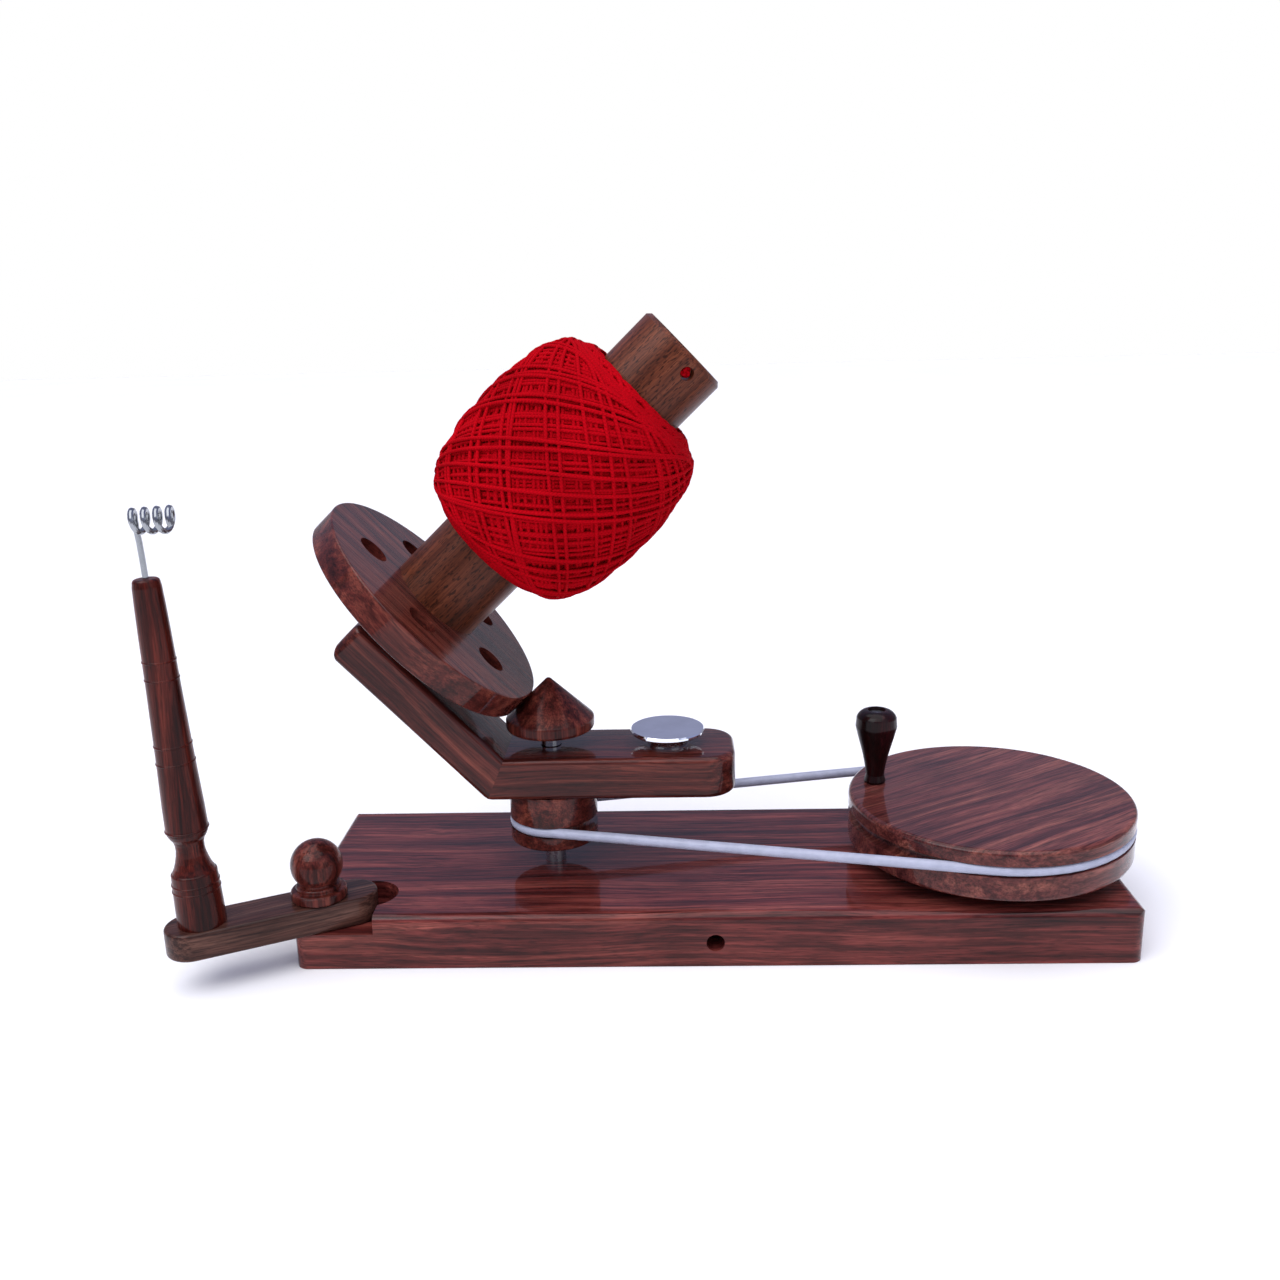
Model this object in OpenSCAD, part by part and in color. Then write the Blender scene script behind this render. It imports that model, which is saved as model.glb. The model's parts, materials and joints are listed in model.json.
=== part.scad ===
// Hand-cranked ball winder. Millimetres, +Z up, origin at the centre of the base board's underside.
// +X points to the drive wheel, +Y away from the user.

/* [Base board] */
// Length of the base board
base_l = 400; // [380:5:420]
// Width of the base board
base_w = 125; // [120:1:140]
// Thickness of the base board
base_h = 27; // [26:0.5:30]
// Rounding of the base board's top edges
base_edge_r = 4; // [2:0.5:5]
// Diameter of the blind clamp hole in the front face
clamp_hole_d = 8.6; // [6:0.2:9]
// Height of the clamp hole above the underside
clamp_hole_z = 12; // [10:0.5:14]

/* [Drive wheel and crank] */
// Distance of the drive wheel's axis from the middle of the base
wheel_x = 140.5; // [136:0.5:145]
// Diameter of the drive wheel
wheel_d = 140; // [130:1:144]
// Thickness of the drive wheel
wheel_t = 25; // [24:0.5:26]
// Height of the crank handle above the wheel
handle_h = 39.5; // [36:0.5:44]
// Distance of the crank handle from the wheel's axis
crank_r = 57.4; // [52:0.2:58]

/* [Flyer] */
// Place of the spindle along the base
spindle_x = -80; // [-84:0.5:-78]
// Diameter of the belt pulley under the flyer arm
pulley_d = 44.4; // [42:0.2:46]
// Diameter of the drive belt
belt_d = 5; // [4:0.1:5]
// Width of the flyer bars
bar_w = 46.6; // [44:0.2:50]
// Thickness of the flyer bars
bar_t = 21.1; // [20:0.1:22]
// Height of the flyer arm's upper face
arm_top = 89.3; // [88.8:0.1:89.5]
// Rise of the bobbin axis above the horizontal, in degrees
bobbin_rise = 43.6; // [43:0.1:44]

/* [Bobbin] */
// Diameter of the friction-driven flange disc
disc_d = 130.2; // [128:0.2:132]
// Thickness of the flange disc
disc_t = 14; // [13:0.5:15]
// Outer diameter of the winding tube
tube_d = 47; // [44:0.5:48]
// Length of the winding tube above the disc
tube_l = 169; // [165:1:180]
// Largest diameter of the wound yarn ball
ball_d = 103.8; // [80:0.2:106]
// Length of the wound yarn ball along the tube
ball_l = 104; // [90:1:106]

/* [Yarn guide] */
// Height of the turned guide post
post_h = 162.5; // [150:0.5:170]
// Lean of the guide post away from the winder, in degrees
post_lean = 1.9; // [0:0.1:2.4]
// Angle of the guide arm to the base's length, in degrees
guide_angle = 26.5; // [25:0.5:28]
// Thickness of the guide arm
guide_t = 13.6; // [12:0.1:14]
// Diameter of the guide wire
wire_d = 2.6; // [1.8:0.1:2.8]

/* [Hidden] */

$fn = 64;
far = 300;               // reach of the cutting half-spaces
eps = 0.5;               // overrun of a cut past a face
run = 0.03;              // radial running clearance of a shaft in its bearing
gap = 0.3;               // clearance between surfaces that move past each other

rosewood = [0.36, 0.17, 0.13];
walnut = [0.45, 0.25, 0.17];
steel = [0.75, 0.76, 0.78];
chrome = [0.85, 0.86, 0.9];
brass = [0.75, 0.6, 0.3];
yarn_red = [0.78, 0.05, 0.12];
belt_white = [0.86, 0.9, 0.94];

// heights and places on the base
wheel_z = 35;                                    // underside of the drive wheel
wheel_top = wheel_z + wheel_t;
belt_z = 50;                                     // plane of the belt
belt_inset = 2.2;                                // belt centre line below a rim
groove_r = belt_d / 2 + gap;                     // half-width of the belt grooves
crank_angle = 163;                               // direction of the crank at rest
slot_floor = 17.8;                               // floor of the guide slot
slot_half_w = 13.5;
slot_end = [-167.5, -38.5];                      // centre of the slot's round end
slot_mouth_y = -50;                              // the base is cut away in front of this line
clamp_at = [-189.1, -49.4];                      // axis of the clamp bolt
guide_z = slot_floor + 0.1;                      // underside of the guide arm
guide_top = guide_z + guide_t;
guide_half_w = 12.25;
guide_in = 15.2;                                 // clamp bolt to the arm's inner end centre
guide_out = 58.5;                                // clamp bolt to the arm's outer end centre
post_off = 53.6;                                 // clamp bolt to the guide post
insert_len = 12;

// the standard 8 x 22 x 7 ball bearing used four times
bearing_r = 11;
bearing_bore = 4 + run;
bearing_t = 7;
journal_r = 4;
shaft_clear = 5.2;                               // clearance bore around a journal

// flyer
spindle_r = 5.25;
pulley_z = 40.4;                                 // underside of the pulley
arm_z = arm_top - bar_t;
shoulder_z = pulley_z + 0.9;                     // spindle shoulder under the lower bearing
arm_end = 12;                                    // right-hand end of the arm
arm_corner_r = 15;
bar_edge_r = 3;
slant_corner_r = 5;
slant_end_round = 8;                             // rounding of the slanted bar's end, outer edge
mitre_round = 14;                                // rounding of the mitre's outer edge
counterweight_x = -21.4;
cone_base_r = 22.1;
cone_z = 98;                                     // underside of the friction cone
cone_tip_r = 2;

// bobbin axis: centre of the disc's upper face and the bars' angle
disc_at = [-132.6, 0, 165.4];
tilt = 90 - bobbin_rise;
disc_gap = 15.8;                                 // disc to slanted bar
slant_face = -(disc_t + disc_gap);               // slanted bar's inner face on the bobbin axis
slant_len = 96;                                  // inner corner to the free end
corner_u = (disc_at[2] + slant_face * cos(tilt) - arm_top) / sin(tilt);
corner_x = disc_at[0] + corner_u * cos(tilt) + slant_face * sin(tilt);
// apex of the cone whose side runs gap below the lowest line of the disc's rim
rim_low = [disc_at[0] + disc_d / 2 * cos(tilt), disc_at[2] - disc_d / 2 * sin(tilt)];
cone_apex_z = rim_low[1] + (spindle_x - rim_low[0]) * tan(bobbin_rise) - gap / cos(bobbin_rise);
disc_hole_r = 40;
disc_hole_d = 15.5;
disc_holes = 5;
disc_hole_turn = -17;
tube_wall = 5;
ball_s = 37;                                     // disc face to the yarn ball's lower end
yarn_hole_s = 162;                               // disc face to the yarn hole
yarn_hole_turn = -70;
yarn_hole_d = 6.5;
hub_s = 46;                                      // disc face to the hub inside the tube
hub_t = 14;

// yarn guide coil
coil_r = 4.5;
coil_pitch = 5.3;
coil_turns = 3.6;
coil_h = 25;                                     // post top to the coil's axis

// ---------- shared shapes ----------

// rectangle with rounded corners, its lower left corner at the origin
module rounded_rect(size, r) {
    translate([r, 0]) square([size[0] - 2 * r, size[1]]);
    translate([0, r]) square([size[0], size[1] - 2 * r]);
    for (x = [r, size[0] - r], y = [r, size[1] - r]) translate([x, y]) circle(r);
}

// points of an arc about c from angle a0 to a1
function arc(c, r, a0, a1, n) =
    [for (i = [0:n]) let (a = a0 + (a1 - a0) * i / n) c + r * [cos(a), sin(a)]];

// solid of revolution from a profile that starts and ends on the axis
module turned(points) rotate_extrude() polygon(points);

module ring(outer, inner, h) {
    difference() {
        cylinder(r = outer, h = h);
        translate([0, 0, -eps]) cylinder(r = inner, h = h + 2 * eps);
    }
}

module ball_bearing() {
    difference() {
        ring(bearing_r, bearing_bore, bearing_t);
        for (z = [-eps, bearing_t - 0.4]) translate([0, 0, z]) ring(9.3, 6, 0.4 + eps);
    }
}

// disc with rounded rims, as a child of a hull
module pebble(r, h, edge) {
    rotate_extrude($fn = 48)
        intersection() {
            translate([-r, 0]) rounded_rect([2 * r, h], edge, $fn = 24);
            square([r, h]);
        }
}

// thin slice of a flyer bar across X, as a child of a hull
module bar_slice() {
    rotate([90, 0, 90]) linear_extrude(1) translate([-bar_w / 2, 0])
        rounded_rect([bar_w, bar_t], bar_edge_r, $fn = 24);
}

module hex_nut(across, h, bore) {
    difference() {
        cylinder(d = across / cos(30), h = h, $fn = 6);
        translate([0, 0, -eps]) cylinder(r = bore, h = h + 2 * eps);
    }
}

module belt_groove(rim_r) {
    rotate_extrude() {
        translate([rim_r - belt_inset, 0]) circle(groove_r);
        translate([rim_r - belt_inset, -groove_r]) square([belt_inset + 5, 2 * groove_r]);
    }
}

module at_spindle() translate([spindle_x, 0, 0]) children();
module at_wheel() translate([wheel_x, 0, 0]) children();
module at_crank() at_wheel() rotate(crank_angle) translate([crank_r, 0, 0]) children();
module at_bobbin() translate(disc_at) rotate([0, tilt, 0]) children();
module at_clamp() translate([clamp_at[0], clamp_at[1], 0]) children();
// local +X runs along the guide arm towards the winder
module along_guide() at_clamp() rotate(guide_angle) children();
module at_post() along_guide() translate([-post_off, 0, guide_top]) rotate(-guide_angle)
    rotate([0, -post_lean, 0]) children();
// half-space on the arm's side (1) or the slanted bar's side (-1) of the mitre
module mitre_side(side) translate([corner_x, 0, arm_top]) rotate([0, tilt / 2, 0])
    translate([side > 0 ? 0 : -far, -far / 2, -far / 2]) cube(far);

// what a rounding of radius r takes off an edge along Y, seen from the rounding's centre: down to
// the depth where it meets the faces, half a width each way
module rounding_cut(r, half, depth) {
    rotate([90, 0, 0]) difference() {
        translate([-half, -2 * r, -bar_w]) cube([2 * half, 2 * r - depth, 2 * bar_w]);
        cylinder(r = r, h = 2 * bar_w + 2 * eps, center = true);
    }
}

// ---------- base ----------

module board_blank() {
    intersection() {
        translate([-base_l / 2, -base_w / 2, 0])
            linear_extrude(base_h) rounded_rect([base_l, base_w], 1.5 * base_edge_r);
        translate([-base_l / 2 - eps, 0, 0]) rotate([90, 0, 90]) linear_extrude(base_l + 2 * eps)
            translate([-base_w / 2, -base_h]) rounded_rect([base_w, 2 * base_h], base_edge_r);
        translate([0, base_w / 2 + eps, 0]) rotate([90, 0, 0]) linear_extrude(base_w + 2 * eps)
            translate([-base_l / 2, -base_h]) rounded_rect([base_l, 2 * base_h], base_edge_r);
    }
}

module base_board() {
    color(rosewood) difference() {
        board_blank();
        // guide slot, open at the front left corner
        translate([slot_end[0], slot_end[1], slot_floor]) rotate(guide_angle) {
            cylinder(r = slot_half_w, h = base_h);
            translate([-base_w, -slot_half_w, 0]) cube([base_w, 2 * slot_half_w, base_h]);
        }
        translate([-base_l, slot_mouth_y - base_w, slot_floor])
            cube([base_l + slot_end[0] + slot_half_w * sin(guide_angle), base_w, base_h]);
        at_clamp() translate([0, 0, slot_floor - insert_len]) cylinder(r = 4.5, h = insert_len + eps);
        at_spindle() translate([0, 0, 3]) cylinder(r = spindle_r, h = base_h);
        at_wheel() {
            translate([0, 0, -eps]) cylinder(r = 13, h = 9 + eps);
            cylinder(r = 8, h = base_h + eps);
        }
        translate([0, -base_w / 2 - eps, clamp_hole_z]) rotate([-90, 0, 0])
            cylinder(d = clamp_hole_d, h = 30 + eps);
    }
}

module clamp_insert() {
    color(brass) at_clamp() translate([0, 0, slot_floor - insert_len])
        ring(4.5, 3 + run, insert_len - 0.3);
}

module spindle() {
    color(steel) at_spindle() {
        translate([0, 0, 3]) cylinder(r = spindle_r, h = shoulder_z - 3);
        translate([0, 0, shoulder_z]) cylinder(r = journal_r, h = cone_z + 14 - shoulder_z);
    }
}

module spindle_collar() {
    color(chrome) at_spindle() translate([0, 0, arm_top + 0.4])
        ring(5, journal_r, cone_z - 2.3 - arm_top - 0.4);
}

module cone_washer() {
    color(chrome) at_spindle() translate([0, 0, cone_z - 2.3]) ring(7.4, journal_r, 2.3);
}

module friction_cone() {
    slope = bobbin_rise;
    foot_r = 2.5;
    shoulder_r = 2;
    // each arc touches the cone's side: one at the tip and one above the band
    tip_z = cone_apex_z - cone_tip_r / cos(slope);
    shoulder_up = tip_z - (cone_base_r - shoulder_r) * tan(slope)
        + (cone_tip_r - shoulder_r) / cos(slope);
    color(rosewood) at_spindle() difference() {
        turned(concat([[0, cone_z]], arc([cone_base_r - foot_r, cone_z + foot_r], foot_r, -90, 0, 8),
            arc([cone_base_r - shoulder_r, shoulder_up], shoulder_r, 0, 90 - slope, 6),
            arc([0, tip_z], cone_tip_r, 90 - slope, 90, 6)));
        translate([0, 0, cone_z - eps]) cylinder(r = journal_r, h = 14 + eps);
    }
}

// ---------- drive wheel ----------

module wheel_bushing() {
    color(brass) at_wheel() {
        translate([0, 0, 9]) ring(8, 5 + run, base_h - 9);
        translate([0, 0, base_h]) ring(11, 5 + run, 1.5);
    }
}

module wheel_blank() {
    edge = 2.5;
    rotate_extrude() intersection() {
        translate([-wheel_d / 2, wheel_z]) rounded_rect([wheel_d, wheel_t], edge);
        translate([0, wheel_z]) square([wheel_d, wheel_t]);
    }
}

module drive_wheel() {
    color(rosewood) difference() {
        at_wheel() difference() {
            wheel_blank();
            translate([0, 0, belt_z]) belt_groove(wheel_d / 2);
            translate([0, 0, wheel_z - eps]) cylinder(r = 5, h = 17 + eps);
        }
        at_crank() translate([0, 0, wheel_top - 16]) cylinder(r = 2.5, h = 20);
    }
}

module wheel_axle() {
    color(steel) at_wheel() translate([0, 0, 1]) cylinder(r = 5, h = wheel_z + 16);
}

module wheel_spacer() {
    color(chrome) at_wheel() translate([0, 0, base_h + 1.6]) ring(9, 5, wheel_z - base_h - 1.6);
}

module axle_nut() {
    color(steel) at_wheel() translate([0, 0, 1.5]) hex_nut(17, 7.4, 5);
}

module crank_screw() {
    color(steel) at_crank() {
        translate([0, 0, wheel_top - 16]) cylinder(r = 2.5, h = handle_h + 12);
        translate([0, 0, wheel_top + handle_h - 4]) cylinder(r = 4.2, h = 2.4);
    }
}

module crank_handle() {
    foot = gap;
    top = handle_h;
    color(walnut) at_crank() translate([0, 0, wheel_top]) difference() {
        turned(concat([[0, foot], [4.6, foot]], arc([4.6, foot + 1], 1, -90, 30, 4),
            [[4.7, 4.5], [5.1, 8], [5.8, 12], [6.8, 16.5], [8, 21], [9.1, 25]],
            arc([5.6, top - 8.4], 4.9, -10, 0, 2), arc([4.5, top - 6], 6, 20, 90, 10), [[0, top]]));
        cylinder(r = 2.5 + 2 * run, h = top + eps);
        translate([0, 0, top - 4.1]) cylinder(r = 4.5, h = 5);
    }
}

// a round belt laid once around the pulley and the wheel: rings of points along its loop
belt_sides = 12;
pulley_belt_r = pulley_d / 2 - belt_inset;
wheel_belt_r = wheel_d / 2 - belt_inset;
belt_lean = asin((wheel_belt_r - pulley_belt_r) / (wheel_x - spindle_x));
wheel_steps = 34;
pulley_steps = 20;

function belt_arc(x, r, from, to, steps) =
    [for (i = [0:steps]) let (a = from + (to - from) * i / steps)
        [for (k = [0:belt_sides - 1]) let (b = 360 * k / belt_sides, out = r + belt_d / 2 * cos(b))
            [x + out * cos(a), out * sin(a), belt_z + belt_d / 2 * sin(b)]]];

module drive_belt() {
    rings = concat(belt_arc(wheel_x, wheel_belt_r, -90 - belt_lean, 90 + belt_lean, wheel_steps),
        belt_arc(spindle_x, pulley_belt_r, 90 + belt_lean, 270 - belt_lean, pulley_steps));
    count = len(rings);
    faces = [for (i = [0:count - 1], k = [0:belt_sides - 1])
        let (j = (i + 1) % count, n = (k + 1) % belt_sides)
        [i * belt_sides + k, i * belt_sides + n, j * belt_sides + n, j * belt_sides + k]];
    color(belt_white) polyhedron([for (one = rings) each one], faces);
}

// ---------- flyer ----------

module arm_bar() {
    color(rosewood) difference() {
        intersection() {
            hull() {
                for (y = [-1, 1])
                    translate([arm_end - arm_corner_r, y * (bar_w / 2 - arm_corner_r), arm_z])
                        pebble(arm_corner_r, bar_t, bar_edge_r);
                translate([corner_x - 40, 0, arm_z]) bar_slice();
            }
            mitre_side(1);
        }
        mitre_rounding();
        at_spindle() {
            translate([0, 0, arm_z - eps]) cylinder(r = bearing_r, h = bearing_t + eps);
            cylinder(r = shaft_clear, h = arm_top + eps);
        }
        translate([counterweight_x, 0, arm_z - eps]) {
            cylinder(r = 4.5, h = 4 + eps);
            cylinder(r = 2.5, h = bar_t + 2 * eps);
        }
        dowel_holes();
        pulley_screw_shafts();
    }
}

module mitre_rounding() {
    half = tilt / 2;
    translate([corner_x, 0, arm_top]) rotate([0, half, 0])
        translate([0, 0, (mitre_round - bar_t) / cos(half)])
            rounding_cut(mitre_round, mitre_round, mitre_round * cos(half) + 0.02);
}

module dowel_holes() {
    translate([corner_x, 0, arm_top]) rotate([0, tilt / 2, 0])
        for (y = [-12, 12]) translate([0, y, -bar_t / 2 / cos(tilt / 2)]) rotate([0, 90, 0])
            cylinder(r = 3, h = 24, center = true);
}

module mitre_dowels() color(walnut) dowel_holes();

module slant_bar() {
    color(rosewood) difference() {
        intersection() {
            at_bobbin() hull() {
                for (y = [-1, 1])
                    translate([corner_u - slant_len + slant_corner_r,
                        y * (bar_w / 2 - slant_corner_r), slant_face - bar_t])
                        pebble(slant_corner_r, bar_t, bar_edge_r);
                translate([corner_u + 40, 0, slant_face - bar_t]) bar_slice();
            }
            mitre_side(-1);
        }
        mitre_rounding();
        at_bobbin() translate([corner_u - slant_len + slant_end_round, 0,
            slant_face - bar_t + slant_end_round]) rotate([0, 45, 0])
                rounding_cut(slant_end_round, slant_end_round, slant_end_round * cos(45) + 0.02);
        at_bobbin() translate([0, 0, slant_face - bar_t - eps]) {
            cylinder(r = journal_r, h = bar_t + 2 * eps);
            cylinder(r = 9, h = 7 + eps);
        }
        dowel_holes();
    }
}

module drive_pulley() {
    edge = 1.2;
    height = arm_z - pulley_z;
    color(rosewood) difference() {
        at_spindle() difference() {
            rotate_extrude() intersection() {
                translate([-pulley_d / 2, pulley_z]) rounded_rect([pulley_d, height], edge);
                translate([0, pulley_z]) square([pulley_d, height]);
            }
            translate([0, 0, belt_z]) belt_groove(pulley_d / 2);
            translate([0, 0, pulley_z - eps]) cylinder(r = bearing_r, h = 1 + bearing_t + eps);
            cylinder(r = shaft_clear, h = arm_z + eps);
        }
        pulley_screw_shafts();
    }
}

// two screws up through the pulley into the arm, heads sunk in the pulley's underside
module pulley_screw_shafts() {
    for (y = [-14.2, 14.2]) translate([spindle_x, y, pulley_z]) {
        translate([0, 0, -eps]) cylinder(r = 2.9, h = 3 + eps);
        cylinder(r = 1.6, h = 41);
    }
}

module pulley_screws() {
    for (y = [-14.2, 14.2]) color(steel) translate([spindle_x, y, pulley_z]) {
        translate([0, 0, 0.6]) cylinder(r = 2.9, h = 2.4);
        translate([0, 0, 0.6]) cylinder(r = 1.6, h = 40.4);
    }
}

module lower_bearing() color(steel) at_spindle() translate([0, 0, pulley_z + 1]) ball_bearing();

module upper_bearing() color(steel) at_spindle() translate([0, 0, arm_z]) ball_bearing();

// mushroom-shaped metal weight that balances the bobbin
module counterweight() {
    top = 97.5 - arm_top;
    color(chrome) translate([counterweight_x, 0, arm_top]) difference() {
        turned(concat([[0, 0], [10, 0]], arc([14.5, 0], 4.5, 180, 110, 6),
            [[17.6, top - 2.4], [18.5, top - 1.6], [18.5, top - 0.7], [18, top], [0, top]]));
        translate([0, 0, -eps]) cylinder(r = 2, h = 5.5 + eps);
    }
}

module counterweight_screw() {
    color(steel) translate([counterweight_x, 0, arm_z + 0.6]) {
        cylinder(r = 4.2, h = 3.4);
        cylinder(r = 2, h = bar_t + 4.9);
    }
}

module bobbin_axle() {
    color(steel) at_bobbin() translate([0, 0, slant_face - bar_t + 1])
        cylinder(r = journal_r, h = bar_t - 1 - slant_face + hub_s + hub_t + 8);
}

module axle_spacer() {
    color(chrome) at_bobbin() translate([0, 0, slant_face]) ring(6.5, journal_r, disc_gap + 0.1);
}

module bobbin_nut() {
    color(steel) at_bobbin() translate([0, 0, slant_face - bar_t + 0.6]) hex_nut(13, 6.4, journal_r);
}

module tube_nut() {
    color(steel) at_bobbin() translate([0, 0, hub_s + hub_t + 0.1]) hex_nut(13, 6.5, journal_r);
}

// ---------- bobbin ----------

module flange_disc() {
    edge = 0.8;
    color(rosewood) at_bobbin() translate([0, 0, -disc_t]) difference() {
        rotate_extrude($fn = 96) intersection() {
            translate([-disc_d / 2, 0]) rounded_rect([disc_d, disc_t], edge);
            square([disc_d, disc_t]);
        }
        translate([0, 0, -eps]) cylinder(r = bearing_r, h = 0.2 + bearing_t + eps);
        cylinder(r = shaft_clear, h = disc_t + eps);
        for (i = [0:disc_holes - 1]) rotate(disc_hole_turn + i * 360 / disc_holes)
            translate([disc_hole_r, 0, -eps]) cylinder(d = disc_hole_d, h = disc_t + 2 * eps);
    }
}

module winding_tube() {
    r = tube_d / 2;
    bore = r - tube_wall;
    color(walnut) at_bobbin() difference() {
        rotate_extrude() polygon([[bore, 0], [r, 0], [r, tube_l - 1.8], [r - 1.8, tube_l],
            [bore + 1, tube_l], [bore, tube_l - 1]]);
        rotate(yarn_hole_turn) translate([0, 0, yarn_hole_s]) rotate([0, 90, 0])
            cylinder(d = yarn_hole_d, h = r + 5);
    }
}

module tube_hub() {
    color(walnut) at_bobbin() translate([0, 0, hub_s]) difference() {
        ring(tube_d / 2 - tube_wall, shaft_clear, hub_t);
        translate([0, 0, hub_t - bearing_t]) cylinder(r = bearing_r, h = bearing_t + eps);
    }
}

module disc_bearing() color(steel) at_bobbin() translate([0, 0, 0.2 - disc_t]) ball_bearing();

module hub_bearing() {
    color(steel) at_bobbin() translate([0, 0, hub_s + hub_t - bearing_t]) ball_bearing();
}

// knotted yarn end that fills the yarn hole, flush with the tube
module yarn_end() {
    r = 3.1;
    color(yarn_red) at_bobbin() rotate(yarn_hole_turn) translate([0, 0, yarn_hole_s])
        rotate([0, 90, 0]) {
            translate([0, 0, tube_d / 2 - tube_wall + 0.5]) cylinder(r = r, h = 1.3);
            translate([0, 0, tube_d / 2 - r - 0.1]) sphere(r);
        }
}

// barrel of cross-wound yarn: a superellipse turned about the tube
module yarn_ball() {
    bore = tube_d / 2 + 0.5;
    belly = ball_d / 2 - bore;
    power = 2.6;
    steps = 36;
    side = [for (i = [0:steps]) let (a = 180 - 180 * i / steps, u = cos(a))
        [bore + belly * pow(1 - pow(abs(u), power), 1 / power), ball_s + ball_l / 2 * (1 + u)]];
    color(yarn_red) at_bobbin() rotate_extrude() polygon(side);
}

// ---------- yarn guide ----------

module guide_arm() {
    edge = 1.6;
    color(rosewood) difference() {
        along_guide() hull() {
            for (x = [guide_in, -guide_out]) translate([x, 0, guide_z])
                pebble(guide_half_w, guide_t, edge);
        }
        at_clamp() cylinder(r = 3.2, h = guide_top + eps);
        along_guide() translate([-post_off, 0, guide_z - eps]) {
            cylinder(r = 4.2, h = 3.2 + eps);
            cylinder(r = 2, h = guide_t + 2 * eps);
        }
    }
}

// turned post: foot, neck, bulb and long taper, with raised beads
module guide_post() {
    h = post_h;
    color(rosewood) difference() {
        at_post() difference() {
            union() {
                turned(concat(
                    [[0, -1], [10.9, -1], [10.9, 1], [10.7, 10], [10.4, 20], [10.2, 24]],
                    arc([8.8, 25], 1.4, 0, 60, 4),
                    [[8.3, 28.6], [7.4, 31.3], [6.7, 34.2], [6.3, 37], [6.4, 39.6]],
                    [[7, 41.6], [8.2, 43.4], [9, 45.2]],
                    arc([8, 47.3], 1.4, -30, 20, 4),
                    [[9.1, 58], [8.65, 70], [8.15, 85], [7.8, 98], [7.4, 112], [7.15, 124]],
                    [[6.85, 138], [6.5, 150], [6.15, h - 4]],
                    arc([4.2, h - 2], 1.6, 10, 90, 4), [[0, h - 0.4]]));
                for (bead = [[20.6, 10.45], [17.4, 10.55], [46.8, 9.45], [79, 8.4], [87.2, 8.15],
                             [117.6, 7.3], [125.8, 7.15]])
                    translate([0, 0, bead[0]]) rotate_extrude()
                        translate([bead[1] - 0.35, 0]) circle(0.6, $fn = 24);
            }
            translate([0, 0, h - 12]) cylinder(d = wire_d, h = 20);
        }
        along_guide() translate([-post_off, 0, guide_top - far]) translate([0, 0, far / 2])
            cube([60, 60, far], center = true);
        post_screw_shape();
    }
}

module post_screw_shape() {
    along_guide() translate([-post_off, 0, guide_z + 0.8]) {
        cylinder(r = 4.2, h = 2.4);
        cylinder(r = 2, h = 38);
    }
}

module post_screw() color(steel) post_screw_shape();

// path of the guide wire above the post: a stem that runs into an open coil about X
stem = [[0, 0, -11], [0, 0, -4], [0, 0, 3], [0, 0, 9], [-0.1, 0, 15], [-0.4, 0, 20.5]];
coil_steps = 16;
coil = [for (i = [0:coil_steps * coil_turns]) let (turn = i / coil_steps, r = coil_r + 0.12 * turn)
    [-0.4 + coil_pitch * turn, r * cos(360 * turn) - coil_r, coil_h + r * sin(360 * turn)]];
wire_path = concat(stem, coil);

function unit(v) = v / norm(v);
function wire_ring(i) = let (
        last = len(wire_path) - 1,
        along = unit(wire_path[min(i + 1, last)] - wire_path[max(i - 1, 0)]),
        across = unit(cross(along, [1, 0, 0])),
        up = cross(along, across))
    [for (k = [0:wire_sides - 1]) let (a = 360 * k / wire_sides)
        wire_path[i] + wire_d / 2 * (cos(a) * across + sin(a) * up)];
wire_sides = 10;

module guide_wire() {
    rings = len(wire_path);
    points = [for (i = [0:rings - 1]) each wire_ring(i)];
    sides = [for (i = [0:rings - 2], k = [0:wire_sides - 1]) let (n = (k + 1) % wire_sides)
        [i * wire_sides + k, (i + 1) * wire_sides + k, (i + 1) * wire_sides + n, i * wire_sides + n]];
    start = [for (k = [0:wire_sides - 1]) k];
    end = [for (k = [wire_sides - 1:-1:0]) (rings - 1) * wire_sides + k];
    color(chrome) at_post() translate([0, 0, post_h]) polyhedron(points, concat(sides, [start, end]));
}

// ---------- clamp of the yarn guide ----------

module clamp_washer() {
    color(steel) at_clamp() translate([0, 0, guide_top + 0.1]) ring(7, 3 + run, 1.2);
}

module clamp_knob() {
    ball_z = 16.9;
    ball_r = 12.25;
    color(rosewood) at_clamp() translate([0, 0, guide_top]) difference() {
        turned(concat([[0, 0.2], [12.2, 0.2]], arc([12.2, 1.2], 1, -90, 0, 4),
            arc([11.8, 3.6], 1.4, 0, 90, 4), [[10.6, 5.2]], arc([9.4, 6.2], 1.2, -20, 80, 4),
            [[9, 7.6]], arc([0, ball_z], ball_r, -42, 90, 22)));
        translate([0, 0, -eps]) cylinder(r = 7.4, h = 1.35 + eps);
        cylinder(r = 3, h = 13);
    }
}

module clamp_bolt() {
    color(steel) at_clamp() translate([0, 0, slot_floor - insert_len + 1])
        cylinder(r = 3, h = guide_top - slot_floor + insert_len - 1 + 13);
}

base_board();
clamp_insert();
spindle();
spindle_collar();
cone_washer();
friction_cone();
wheel_bushing();
drive_belt();
drive_wheel();
wheel_axle();
wheel_spacer();
axle_nut();
crank_screw();
crank_handle();
arm_bar();
slant_bar();
mitre_dowels();
drive_pulley();
pulley_screws();
lower_bearing();
upper_bearing();
counterweight();
counterweight_screw();
bobbin_axle();
axle_spacer();
bobbin_nut();
tube_nut();
flange_disc();
winding_tube();
tube_hub();
disc_bearing();
hub_bearing();
yarn_end();
yarn_ball();
guide_arm();
guide_post();
post_screw();
guide_wire();
clamp_washer();
clamp_knob();
clamp_bolt();
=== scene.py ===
import json
import math

import bpy
import numpy as np
from mathutils import Matrix, Vector

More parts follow.
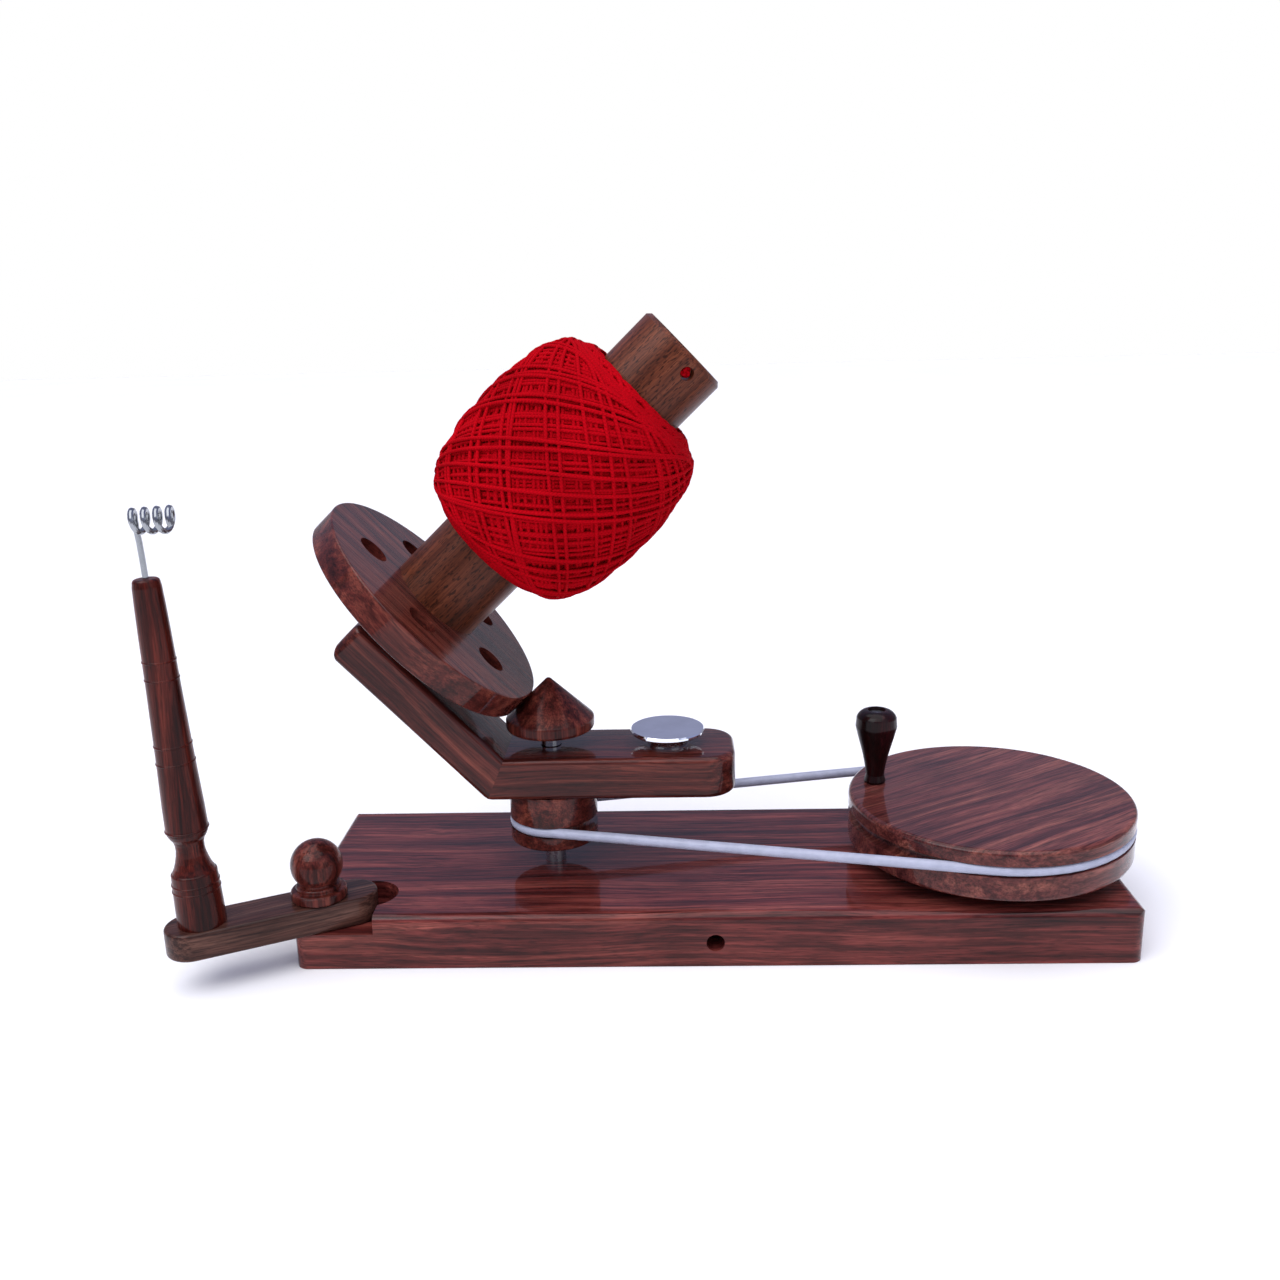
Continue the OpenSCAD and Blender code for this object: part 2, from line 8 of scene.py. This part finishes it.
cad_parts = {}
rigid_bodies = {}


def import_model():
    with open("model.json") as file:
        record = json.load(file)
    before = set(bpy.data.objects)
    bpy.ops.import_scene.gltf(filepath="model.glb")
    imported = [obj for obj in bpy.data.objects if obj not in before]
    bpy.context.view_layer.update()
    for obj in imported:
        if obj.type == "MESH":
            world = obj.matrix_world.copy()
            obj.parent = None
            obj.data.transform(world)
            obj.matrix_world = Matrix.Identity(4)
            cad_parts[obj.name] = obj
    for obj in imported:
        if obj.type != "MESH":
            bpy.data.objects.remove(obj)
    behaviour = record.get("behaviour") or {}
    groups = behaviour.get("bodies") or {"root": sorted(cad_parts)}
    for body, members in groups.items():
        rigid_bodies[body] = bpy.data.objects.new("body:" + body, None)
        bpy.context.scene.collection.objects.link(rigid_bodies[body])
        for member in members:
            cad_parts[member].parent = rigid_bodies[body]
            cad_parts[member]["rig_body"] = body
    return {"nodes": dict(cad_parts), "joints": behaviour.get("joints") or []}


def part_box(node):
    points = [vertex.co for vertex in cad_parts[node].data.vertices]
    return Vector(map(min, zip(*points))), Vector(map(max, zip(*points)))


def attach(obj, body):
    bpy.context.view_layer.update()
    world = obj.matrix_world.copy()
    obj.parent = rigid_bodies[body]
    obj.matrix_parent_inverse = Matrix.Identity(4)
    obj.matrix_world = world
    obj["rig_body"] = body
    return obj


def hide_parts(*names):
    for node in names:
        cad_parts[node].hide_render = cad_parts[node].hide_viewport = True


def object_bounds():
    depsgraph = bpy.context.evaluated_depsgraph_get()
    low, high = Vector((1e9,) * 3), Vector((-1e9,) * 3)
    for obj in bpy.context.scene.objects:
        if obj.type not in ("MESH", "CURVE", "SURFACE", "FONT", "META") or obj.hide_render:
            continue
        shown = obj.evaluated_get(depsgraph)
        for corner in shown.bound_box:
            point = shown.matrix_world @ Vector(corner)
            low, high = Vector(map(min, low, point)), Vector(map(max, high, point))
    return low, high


# Looks, light and camera for the ball winder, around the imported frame. Metres, in the row frame.

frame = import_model()
cad_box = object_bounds()
joints = {joint["name"]: joint for joint in frame["joints"]}

# ---------- places taken from the frame ----------

X_AXIS = Vector((1, 0, 0))
Y_AXIS = Vector((0, 1, 0))
Z_AXIS = Vector((0, 0, 1))
BOBBIN_AT = Vector(joints["bobbin_spin"]["pos_m"])
BOBBIN_AXIS = Vector(joints["bobbin_spin"]["axis"]).normalized()
BOBBIN_DOWN = Y_AXIS.cross(BOBBIN_AXIS).normalized()  # down the slope of the flange disc
CLAMP_AT = Vector(joints["guide_arm_swing"]["pos_m"])


def middle(node):
    """Centre of a CAD node's box."""
    low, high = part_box(node)
    return (low + high) / 2


GUIDE_ALONG = (CLAMP_AT - middle("guide_arm")) * Vector((1, 1, 0))
GUIDE_ALONG.normalize()


# ---------- wiring materials ----------


class Shader:
    """A material while it is wired. Inputs that are sockets are linked, and other values are set."""

    def __init__(self, name):
        self.material = bpy.data.materials.new(name)
        self.material.use_nodes = True
        self.tree = self.material.node_tree
        self.surface = self.tree.nodes["Principled BSDF"]

    def feed(self, node, inputs):
        for key, value in inputs.items():
            socket = node.inputs[key]
            if isinstance(value, bpy.types.NodeSocket):
                self.tree.links.new(value, socket)
            else:
                socket.default_value = value

    def add(self, kind, inputs=None, **settings):
        node = self.tree.nodes.new("ShaderNode" + kind)
        for key, value in settings.items():
            setattr(node, key, value)
        self.feed(node, inputs or {})
        return node.outputs[0]

    def finish(self, **inputs):
        self.feed(self.surface, {key.replace("_", " "): value for key, value in inputs.items()})
        return self.material

    def place(self, kind="Object"):
        """The texture coordinates of the given kind."""
        return self.tree.nodes.new("ShaderNodeTexCoord").outputs[kind]

    def noise(self, vector, scale, detail=2.0, roughness=0.5, distortion=0.0):
        return self.add(
            "TexNoise",
            {
                "Vector": vector,
                "Scale": scale,
                "Detail": detail,
                "Roughness": roughness,
                "Distortion": distortion,
            },
        )

    def stretch(self, vector, factors):
        return self.add("VectorMath", {0: vector, 1: factors}, operation="MULTIPLY")

    def ramp(self, value, *stops):
        """A colour ramp through (position, (r, g, b)) stops."""
        node = self.tree.nodes.new("ShaderNodeValToRGB")
        elements = node.color_ramp.elements
        while len(elements) < len(stops):
            elements.new(0.5)
        for element, (place, colour) in zip(elements, stops):
            element.position = place
            element.color = (*colour, 1)
        self.tree.links.new(value, node.inputs["Fac"])
        return node.outputs["Color"]

    def fit(self, value, low, high, to_low=0.0, to_high=1.0):
        """value carried from low..high to to_low..to_high, and held inside."""
        return self.add(
            "MapRange",
            {"Value": value, "From Min": low, "From Max": high, "To Min": to_low, "To Max": to_high},
        )

    def mix(self, factor, first, second, how="MIX"):
        node = self.tree.nodes.new("ShaderNodeMix")
        node.data_type = "RGBA"
        node.blend_type = how
        for index, value in ((0, factor), (6, first), (7, second)):
            if isinstance(value, bpy.types.NodeSocket):
                self.tree.links.new(value, node.inputs[index])
            else:
                node.inputs[index].default_value = value if index == 0 else (*value, 1)
        return node.outputs[2]

    def bump(self, height, strength, distance):
        return self.add("Bump", {"Height": height, "Strength": strength, "Distance": distance})


def grain_space(shader, along, shift):
    """Object coordinates turned so that X runs along the grain, with a slow waver."""
    turn = along.rotation_difference(X_AXIS).to_euler("XYZ")
    turned = shader.add("Mapping", {"Vector": shader.place(), "Rotation": turn, "Location": shift})
    waver = shader.tree.nodes.new("ShaderNodeTexNoise")
    shader.feed(waver, {"Vector": shader.stretch(turned, (9, 22, 22)), "Scale": 1.0, "Detail": 1.0})
    centred = shader.add(
        "VectorMath", {0: waver.outputs["Color"], 1: (0.5, 0.5, 0.5)}, operation="SUBTRACT"
    )
    offset = shader.stretch(centred, (0, 0.010, 0.010))
    return shader.add("VectorMath", {0: turned, 1: offset}, operation="ADD")


LINE_RATE = 520  # fine dark lines across a metre of wood


def varnished_wood(
    name, along, shift, tones, gloss=0.05, varnish=1.0, lines_dark=0.5, dash=(120, 1500, 0.4)
):
    """Dark figured hardwood under clear varnish: broad streaks, fine lines and pore dashes along the grain.

    lines_dark is the brightness of the fine lines, and dash the rates along and across, and the share,
    of the pore dashes.
    """
    dark, mid, light = tones
    dash_along, dash_across, dash_share = dash
    shader = Shader(name)
    place = grain_space(shader, along, shift)
    figure = shader.noise(shader.stretch(place, (5, 130, 130)), 1.0, 3.0, 0.6, 0.4)
    lines = shader.noise(shader.stretch(place, (11, LINE_RATE, LINE_RATE)), 1.0, 2.0, 0.55)
    fibres = shader.noise(shader.stretch(place, (45, 1500, 1500)), 1.0, 2.0, 0.6)
    pores = shader.noise(shader.stretch(place, (dash_along, dash_across, dash_across)), 1.0, 1.0, 0.5)
    clouds = shader.noise(place, 16.0, 2.0)
    colour = shader.ramp(figure, (0.32, dark), (0.5, mid), (0.68, light))
    for value, low, high in (
        (lines, (lines_dark, 0.92 * lines_dark, 0.95 * lines_dark), (1.24, 1.20, 1.18)),
        (fibres, (0.72, 0.70, 0.70), (1.22, 1.22, 1.22)),
        (clouds, (0.80, 0.76, 0.76), (1.18, 1.20, 1.20)),
    ):
        colour = shader.mix(1.0, colour, shader.ramp(value, (0.36, low), (0.58, high)), "MULTIPLY")
    open_pores = shader.fit(pores, 0.56, 0.66, 0.0, dash_share)
    colour = shader.mix(open_pores, colour, tuple(0.2 * c for c in dark))
    return shader.finish(
        Base_Color=colour,
        Roughness=shader.fit(fibres, 0.3, 0.7, 0.5, 0.38),
        Specular_IOR_Level=0.05,
        Coat_Weight=varnish,
        Coat_Roughness=gloss,
        Coat_IOR=1.3,
        Normal=shader.bump(shader.fit(pores, 0.45, 0.7, 1, 0), 0.25, 0.0002),
    )


def bright_metal(name, colour, roughness, smudge):
    """Metal with faint drawn lines and handling marks."""
    shader = Shader(name)
    place = shader.place()
    marks = shader.noise(place, 60.0, 4.0, 0.6)
    lines = shader.noise(shader.stretch(place, (300, 300, 3200)), 1.0, 2.0)
    tint = shader.ramp(marks, (0.35, tuple(c * (1 - smudge) for c in colour)), (0.65, colour))
    return shader.finish(
        Base_Color=tint,
        Metallic=1.0,
        Roughness=shader.fit(marks, 0.3, 0.7, roughness, roughness + 0.6 * smudge),
        Normal=shader.bump(lines, 0.08, 0.0001),
    )


def belt_material():
    """Milky polyurethane cord with a faint mottle."""
    shader = Shader("belt")
    mottle = shader.noise(shader.place(), 220.0, 3.0)
    return shader.finish(
        Base_Color=shader.ramp(mottle, (0.35, (0.34, 0.36, 0.46)), (0.65, (0.40, 0.42, 0.53))),
        Roughness=shader.fit(mottle, 0.3, 0.7, 0.32, 0.45),
        Specular_IOR_Level=0.4,
        Normal=shader.bump(mottle, 0.1, 0.0001),
    )


# the brightness factor scales the red; above 1 it is painted light, a lit copy of the yarn
def yarn_material(name, painted_brightness):
    """Red plied yarn: twist bands from the strand's own coordinates, with painted shade in their grooves,
    and fuzz.
    """
    shader = Shader(name)
    twist = shader.tree.nodes.new("ShaderNodeTexWave")
    twist.bands_direction = "DIAGONAL"
    shader.feed(
        twist,
        {"Vector": shader.place("UV"), "Scale": 1.0, "Distortion": 1.2, "Detail": 1.0, "Detail Scale": 3.0},
    )
    ply = twist.outputs["Fac"]
    fuzz = shader.noise(shader.place(), 2200.0, 3.0, 0.7)
    patches = shader.noise(shader.place(), 35.0, 2.0)
    painted_groove_shade, full = (0.19 * painted_brightness, 0.0005, 0.0022), (0.44 * painted_brightness, 0.0011, 0.0062)
    # the darker colour is painted shade in the grooves of the twist, following the same ply bands as the
    # bump
    colour = shader.mix(shader.fit(ply, 0.1, 0.9, 0.6, 1.0), painted_groove_shade, full)
    mottle = shader.ramp(patches, (0.3, (0.88,) * 3), (0.7, (1.1,) * 3))
    colour = shader.mix(1.0, colour, mottle, "MULTIPLY")
    height = shader.add("Math", {0: ply, 1: fuzz}, operation="ADD")
    return shader.finish(
        Base_Color=colour,
        Roughness=shader.fit(fuzz, 0.3, 0.7, 0.85, 1.0),
        Specular_IOR_Level=0.03,
        Normal=shader.bump(height, 0.3, 0.0002),
    )


# ---------- what each CAD node is made of ----------

BOARD_TONES = ((0.036, 0.0060, 0.0060), (0.098, 0.018, 0.016), (0.19, 0.047, 0.036))
WHEEL_TONES = ((0.044, 0.0098, 0.010), (0.098, 0.025, 0.022), (0.18, 0.058, 0.043))
BAR_TONES = ((0.024, 0.0040, 0.0030), (0.066, 0.012, 0.009), (0.130, 0.032, 0.021))
TUBE_TONES = ((0.066, 0.018, 0.0080), (0.098, 0.027, 0.0120), (0.135, 0.040, 0.019))
GUIDE_TONES = ((0.036, 0.013, 0.010), (0.064, 0.027, 0.020), (0.105, 0.052, 0.038))
POST_TONES = ((0.022, 0.0025, 0.0015), (0.058, 0.0075, 0.0045), (0.115, 0.021, 0.013))
HANDLE_TONES = ((0.003, 0.0003, 0.0004), (0.008, 0.0006, 0.0009), (0.018, 0.002, 0.003))

WHEEL_GRAIN = Vector((math.cos(math.radians(33)), math.sin(math.radians(33)), 0))
SATIN = {"gloss": 0.3, "varnish": 0.55, "lines_dark": 0.82, "dash": (330, 1400, 0.8)}
WAXED = {"gloss": 0.16, "varnish": 0.6}

# each wooden node: direction of the grain, a shift that makes its figure its own, tones, and finish
WOODS = {
    "base_board": (X_AXIS, (0.0, 0.0, 0.0), BOARD_TONES, {}),
    "drive_wheel": (WHEEL_GRAIN, (0.3, 0.1, 0.0), WHEEL_TONES, {"lines_dark": 0.6}),
    "arm_bar": (X_AXIS, (1.1, 0.2, 0.3), BAR_TONES, {}),
    "slant_bar": (BOBBIN_DOWN, (2.0, 0.4, 0.1), BAR_TONES, {}),
    "drive_pulley": (Y_AXIS, (2.7, 0.3, 0.9), BAR_TONES, {}),
    "flange_disc": (BOBBIN_DOWN, (3.1, 0.0, 0.5), BAR_TONES, {"lines_dark": 0.7}),
    "winding_tube": (BOBBIN_AXIS, (4.2, 0.3, 0.2), TUBE_TONES, SATIN),
    "tube_hub": (BOBBIN_AXIS, (4.9, 0.1, 0.2), TUBE_TONES, SATIN),
    "friction_cone": (Z_AXIS, (5.3, 0.2, 0.4), BAR_TONES, WAXED),
    "guide_arm": (GUIDE_ALONG, (6.1, 0.6, 0.2), GUIDE_TONES, WAXED),
    "guide_post": (Z_AXIS, (7.4, 0.1, 0.3), POST_TONES, WAXED),
    "clamp_knob": (Z_AXIS, (8.2, 0.5, 0.1), BAR_TONES, WAXED),
    "crank_handle": (Z_AXIS, (9.6, 0.2, 0.7), HANDLE_TONES, WAXED),
    "mitre_dowels": (X_AXIS, (9.9, 0.4, 0.2), BAR_TONES, {}),
}

CHROME_NODES = ("spindle_collar", "cone_washer", "wheel_spacer", "counterweight", "axle_spacer")
BRASS_NODES = ("clamp_insert", "wheel_bushing")
YARN_NODES = ("yarn_end", "yarn_ball")


def dress(node, material):
    """Gives a CAD node its material."""
    meshes = frame["nodes"][node].data
    meshes.materials.clear()
    meshes.materials.append(material)


def dress_all():
    chrome = bright_metal("chrome", (0.86, 0.89, 0.95), 0.05, 0.1)
    steel = bright_metal("steel", (0.58, 0.58, 0.6), 0.24, 0.15)
    wire = bright_metal("guide_wire", (0.40, 0.42, 0.44), 0.12, 0.3)
    brass = bright_metal("brass", (0.75, 0.53, 0.24), 0.2, 0.2)
    yarn = yarn_material("yarn", 1.0)
    belt = belt_material()
    for node in frame["nodes"]:
        if node in WOODS:
            along, shift, tones, finish = WOODS[node]
            dress(node, varnished_wood("wood_" + node, along, shift, tones, **finish))
        elif node in CHROME_NODES:
            dress(node, chrome)
        elif node in BRASS_NODES:
            dress(node, brass)
        elif node in YARN_NODES:
            dress(node, yarn)
        elif node == "drive_belt":
            dress(node, belt)
        elif node == "guide_wire":
            dress(node, wire)
        else:
            dress(node, steel)
    return yarn


# ---------- pieces that stand for faceted nodes ----------

SMOOTHED = {
    "arm_bar": "rosewood",
    "slant_bar": "rosewood",
    "guide_arm": "rosewood",
    "guide_wire": "chrome",
    "drive_belt": "belt",
}
WELD = 1e-6
SHARP = math.radians(32)


def smoothed(node):
    """A copy of a faceted node with shared corners and smooth shading, which stands for it."""
    source = frame["nodes"][node]
    data = source.data
    corners = np.array([v.co for v in data.vertices], float).reshape(-1, 3)
    keys = np.round(corners / WELD).astype(np.int64)
    _, first, merged = np.unique(keys, axis=0, return_index=True, return_inverse=True)
    merged = merged.ravel()
    faces = []
    for polygon in data.polygons:
        face = [int(merged[v]) for v in polygon.vertices]
        if len(set(face)) == len(face):
            faces.append(face)
    piece = make_piece(node + "_piece", corners[first], faces, data.materials[0])
    piece.data.set_sharp_from_angle(angle=SHARP)
    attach(piece, source["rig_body"])
    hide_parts(node)
    return piece


def make_piece(name, points, faces, material, strips=None):
    """A smooth-shaded mesh object, with one (u, v) for each face corner in strips."""
    mesh = bpy.data.meshes.new(name)
    mesh.from_pydata([tuple(p) for p in points], [], faces)
    mesh.polygons.foreach_set("use_smooth", [True] * len(mesh.polygons))
    if strips is not None:
        layer = mesh.uv_layers.new(name="strand")
        layer.data.foreach_set("uv", np.asarray(strips, np.float32).ravel())
    mesh.materials.append(material)
    mesh.update()
    piece = bpy.data.objects.new(name, mesh)
    bpy.context.scene.collection.objects.link(piece)
    return piece


# ---------- yarn ----------

YARN_R = 0.0009  # radius of the yarn
YARN_SIDES = 8
LOOP_STEPS = 60  # points along one loop of yarn
BALL_POWER = 2.6  # roundness of the ball's profile, as in the CAD model
# each layer: loops, how near they come to the ends, share of the full thickness, depth
LAYERS = (
    (34, 0.985, 0.55, 0.0),
    (48, 0.975, 0.78, 0.0),
    (130, 0.93, 1.0, 0.0030),
    (67, 0.91, 1.0, 0.0016),
    (23, 0.885, 1.0, 0.0),
)
WEAVE = 0.0008  # how far rising strands stand above falling ones


def ball_shape():
    """Foot radius, largest radius, middle and half-length of the CAD yarn ball, along the bobbin axis."""
    points = np.array([v.co for v in frame["nodes"]["yarn_ball"].data.vertices], float)
    from_disc = points - np.array(BOBBIN_AT)
    along = from_disc @ np.array(BOBBIN_AXIS)
    out = np.linalg.norm(from_disc - np.outer(along, np.array(BOBBIN_AXIS)), axis=1)
    return out.min(), out.max(), (along.min() + along.max()) / 2, (along.max() - along.min()) / 2


def profile(u, foot, top, share=1.0):
    """Radius of the ball at u half-lengths from its middle."""
    return foot + share * (top - foot) * (1 - np.abs(u) ** BALL_POWER) ** (1 / BALL_POWER)


def in_bobbin(along, out, turn):
    """Points from distance along the axis, distance out from it and turn round it."""
    axis, down, across = (np.array(v) for v in (BOBBIN_AXIS, BOBBIN_DOWN, Y_AXIS))
    ray = np.outer(np.cos(turn), down) + np.outer(np.sin(turn), across)
    return np.array(BOBBIN_AT) + np.outer(along, axis) + ray * np.asarray(out)[:, None]


def tube_along(path, radius, sides, closed):
    """Points, faces and strand coordinates of a round tube along a path."""
    forward = np.gradient(path, axis=0)
    if closed:
        forward = np.roll(path, -1, axis=0) - np.roll(path, 1, axis=0)
    forward /= np.linalg.norm(forward, axis=1)[:, None]
    centre = path.mean(axis=0)
    outward = path - centre
    side = np.cross(forward, outward)
    side /= np.linalg.norm(side, axis=1)[:, None]
    up = np.cross(side, forward)
    angles = 2 * math.pi * np.arange(sides) / sides
    rings = (
        path[:, None, :]
        + radius * np.cos(angles)[None, :, None] * up[:, None, :]
        + radius * np.sin(angles)[None, :, None] * side[:, None, :]
    )
    count = len(path)
    length = np.concatenate([[0], np.cumsum(np.linalg.norm(np.diff(path, axis=0), axis=1))])
    faces, strips = [], []
    for i in range(count if closed else count - 1):
        j = (i + 1) % count
        ahead = length[j] if j else length[-1] + radius
        for k in range(sides):
            n = (k + 1) % sides
            faces.append((i * sides + k, i * sides + n, j * sides + n, j * sides + k))
            u0, u1 = length[i] / (3 * radius), ahead / (3 * radius)
            v0, v1 = k / sides, (k + 1) / sides
            strips += [(u0, v0), (u0, v1), (u1, v1), (u1, v0)]
    if not closed:
        faces.append(tuple(range(sides - 1, -1, -1)))
        faces.append(tuple((count - 1) * sides + k for k in range(sides)))
        strips += [(0, 0)] * (2 * sides)
    return rings.reshape(-1, 3), faces, strips


def winding(loops, reach, share, depth, shape, random):
    """One layer of the ball: loops that cross it from end to end while they go once round the tube."""
    foot, top, mid, half = shape
    steps = loops * LOOP_STEPS
    theta = 2 * math.pi * np.arange(steps + 1) / LOOP_STEPS
    spacing = 2 * math.pi / loops
    drift = sum(
        random.uniform(0.25, 0.5) * spacing * np.sin(theta * rate + random.uniform(0, 6.28))
        for rate in random.uniform(0.11, 0.47, 3)
    )
    turn = theta * (1 + 1 / loops) + drift
    u = reach * np.cos(theta)
    out = profile(u, foot, top, share) - YARN_R - depth - WEAVE * (1 + np.sin(theta)) * 0.5
    return in_bobbin(mid + half * u, out, turn)


def yarn_ball(yarn):
    """The ball of cross-wound yarn: a dense core under layers of crossing loops."""
    shape = ball_shape()
    random = np.random.default_rng(7)
    points, faces, strips, start = [], [], [], 0
    for loops, reach, share, depth in LAYERS:
        path = winding(loops, reach, share, depth, shape, random)
        ring_points, ring_faces, ring_strips = tube_along(path, YARN_R, YARN_SIDES, False)
        points.append(ring_points)
        faces += [tuple(v + start for v in face) for face in ring_faces]
        strips += ring_strips
        start += len(ring_points)
    strands = make_piece("yarn_strands", np.concatenate(points), faces, yarn, strips)
    core = yarn_core(shape)
    for piece in (strands, core):
        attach(piece, "yarn_ball")
    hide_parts("yarn_ball")


CORE_RINGS = 60
CORE_SIDES = 96
CORE_SINK = 0.0048  # depth of the dense core below the ball's surface
CORE_END_SHARE = 0.35  # how much of that depth it keeps at the ball's ends
CORE_CLEAR = 0.0002  # gap between the core and the tube


def yarn_core(shape):
    """The inner windings, seen only between the outer strands, in a brighter copy of the yarn: painted
    light that lifts the shade of the gaps.
    """
    foot, top, mid, half = shape
    reach = 1 - CORE_END_SHARE * CORE_SINK / half
    u = -reach * np.cos(math.pi * np.arange(CORE_RINGS + 1) / CORE_RINGS)
    out = np.maximum(profile(u / reach, foot, top - CORE_SINK), foot + CORE_CLEAR)
    turn = 2 * math.pi * np.arange(CORE_SIDES) / CORE_SIDES
    rings = [
        in_bobbin(np.full(CORE_SIDES, mid + half * a), np.full(CORE_SIDES, r), turn)
        for a, r in zip(u, out)
    ]
    faces, strips = [], []
    for i in range(CORE_RINGS):
        for k in range(CORE_SIDES):
            n = (k + 1) % CORE_SIDES
            a, b = i * CORE_SIDES, (i + 1) * CORE_SIDES
            faces.append((a + k, a + n, b + n, b + k))
            strips += [(k, i), (k + 1, i), (k + 1, i + 1), (k, i + 1)]
    # the core's yarn is 1.15 times brighter than the strands: painted light against the shade between them
    return make_piece("yarn_core", np.concatenate(rings), faces, yarn_material("yarn_inner_painted_lift", 1.15), strips)


KNOT_R, KNOT_THICK = 0.00135, 0.00075  # the knot's loop, and how far it weaves
KNOT_STEPS = 72


def yarn_knot(yarn):
    """The knotted start of the yarn, pulled into the tube's hole."""
    at = middle("yarn_end")
    outward = at - BOBBIN_AT
    outward = (outward - BOBBIN_AXIS * outward.dot(BOBBIN_AXIS)).normalized()
    side = outward.cross(BOBBIN_AXIS)
    t = 2 * math.pi * np.arange(KNOT_STEPS) / KNOT_STEPS
    reach = KNOT_R + KNOT_THICK * np.cos(3 * t)
    path = (
        np.array(at)
        + np.outer(reach * np.cos(2 * t), BOBBIN_AXIS)
        + np.outer(reach * np.sin(2 * t), side)
        + np.outer(KNOT_THICK * np.sin(3 * t), outward)
    )
    points, faces, strips = tube_along(path, YARN_R, YARN_SIDES, True)
    knot = make_piece("yarn_knot", points, faces, yarn, strips)
    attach(knot, "bobbin")
    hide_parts("yarn_end")


# ---------- floor, light and camera ----------

CAMERA_AT = Vector((-0.016992, -0.575726, 0.300411))
CAMERA_YAW, CAMERA_PITCH, CAMERA_ROLL = -0.0297, 0.2670, -0.0232
LENS_MM = 34.2
FLOOR_SIZE = 12.0
FLOOR_DROP = 0.0002
BACKDROP = (1.0, 1.0, 1.0)
SKY_LOW = (0.30, 0.29, 0.34)
SKY_HIGH = (0.29, 0.32, 0.52)


def camera():
    """The camera at the photograph's viewing angle."""
    forward = Vector(
        (
            math.sin(CAMERA_YAW) * math.cos(CAMERA_PITCH),
            math.cos(CAMERA_YAW) * math.cos(CAMERA_PITCH),
            -math.sin(CAMERA_PITCH),
        )
    )
    level = Vector((math.cos(CAMERA_YAW), -math.sin(CAMERA_YAW), 0))
    rise = level.cross(forward)
    right = math.cos(CAMERA_ROLL) * level + math.sin(CAMERA_ROLL) * rise
    up = math.cos(CAMERA_ROLL) * rise - math.sin(CAMERA_ROLL) * level
    data = bpy.data.cameras.new("camera")
    data.lens = LENS_MM
    data.sensor_width = 36
    data.clip_start, data.clip_end = 0.01, 100
    shot = bpy.data.objects.new("camera", data)
    shot.matrix_world = Matrix.Translation(CAMERA_AT) @ Matrix((right, up, -forward)).transposed().to_4x4()
    bpy.context.scene.collection.objects.link(shot)
    bpy.context.scene.camera = shot


def floor():
    """A plain pale floor under the base."""
    z, half = cad_box[0].z - FLOOR_DROP, FLOOR_SIZE / 2
    shader = Shader("floor")
    tone = shader.noise(shader.place(), 3.0, 2.0)
    colour = shader.ramp(tone, (0.3, (0.93, 0.93, 0.93)), (0.7, (0.95, 0.95, 0.95)))
    material = shader.finish(Base_Color=colour, Roughness=0.9, Specular_IOR_Level=0.1)
    corners = [(-half, -half, z), (half, -half, z), (half, half, z), (-half, half, z)]
    make_piece("floor", corners, [(0, 1, 2, 3)], material)


def world():
    """A white backdrop, and even light that is grey near the horizon and cooler overhead."""
    sky = bpy.data.worlds.new("sky")
    bpy.context.scene.world = sky
    sky.use_nodes = True
    nodes, links = sky.node_tree.nodes, sky.node_tree.links
    split = nodes.new("ShaderNodeSeparateXYZ")
    ramp = nodes.new("ShaderNodeValToRGB")
    low, high = ramp.color_ramp.elements
    low.position, low.color = 0.1, (*SKY_LOW, 1)
    high.position, high.color = 0.5, (*SKY_HIGH, 1)
    light = nodes["Background"]
    links.new(nodes.new("ShaderNodeTexCoord").outputs["Generated"], split.inputs[0])
    links.new(split.outputs["Z"], ramp.inputs["Fac"])
    links.new(ramp.outputs["Color"], light.inputs["Color"])
    backdrop = nodes.new("ShaderNodeBackground")
    backdrop.inputs["Color"].default_value = (*BACKDROP, 1)
    choose = nodes.new("ShaderNodeMixShader")
    links.new(nodes.new("ShaderNodeLightPath").outputs["Is Camera Ray"], choose.inputs[0])
    links.new(light.outputs[0], choose.inputs[1])
    links.new(backdrop.outputs[0], choose.inputs[2])
    links.new(choose.outputs[0], nodes["World Output"].inputs["Surface"])


def add_lamp(name, kind, at, target, power, **settings):
    """A lamp of the given kind, aimed at a target."""
    data = bpy.data.lights.new(name, kind)
    data.energy = power
    for key, value in settings.items():
        setattr(data, key, value)
    lamp = bpy.data.objects.new(name, data)
    lamp.location = at
    lamp.rotation_mode = "QUATERNION"
    lamp.rotation_quaternion = (Vector(target) - Vector(at)).to_track_quat("-Z", "Y")
    bpy.context.scene.collection.objects.link(lamp)


def studio():
    world()
    add_lamp("overhead", "SUN", (-0.3, -0.5, 2.0), (0, 0, 0), 2.6, angle=1.4, color=(1.0, 0.98, 0.95))
    add_lamp("key", "AREA", (-1.1, -1.2, 1.7), (-0.05, 0, 0.1), 14, size=1.4)
    add_lamp("fill", "AREA", (1.3, -1.4, 1.0), (0, 0, 0.1), 5, size=1.6)
    bpy.context.scene.view_settings.view_transform = "Standard"


# ---------- build ----------

camera()
floor()
studio()
yarn = dress_all()
for node, slot in SMOOTHED.items():
    smoothed(node)
yarn_ball(yarn)
yarn_knot(yarn)
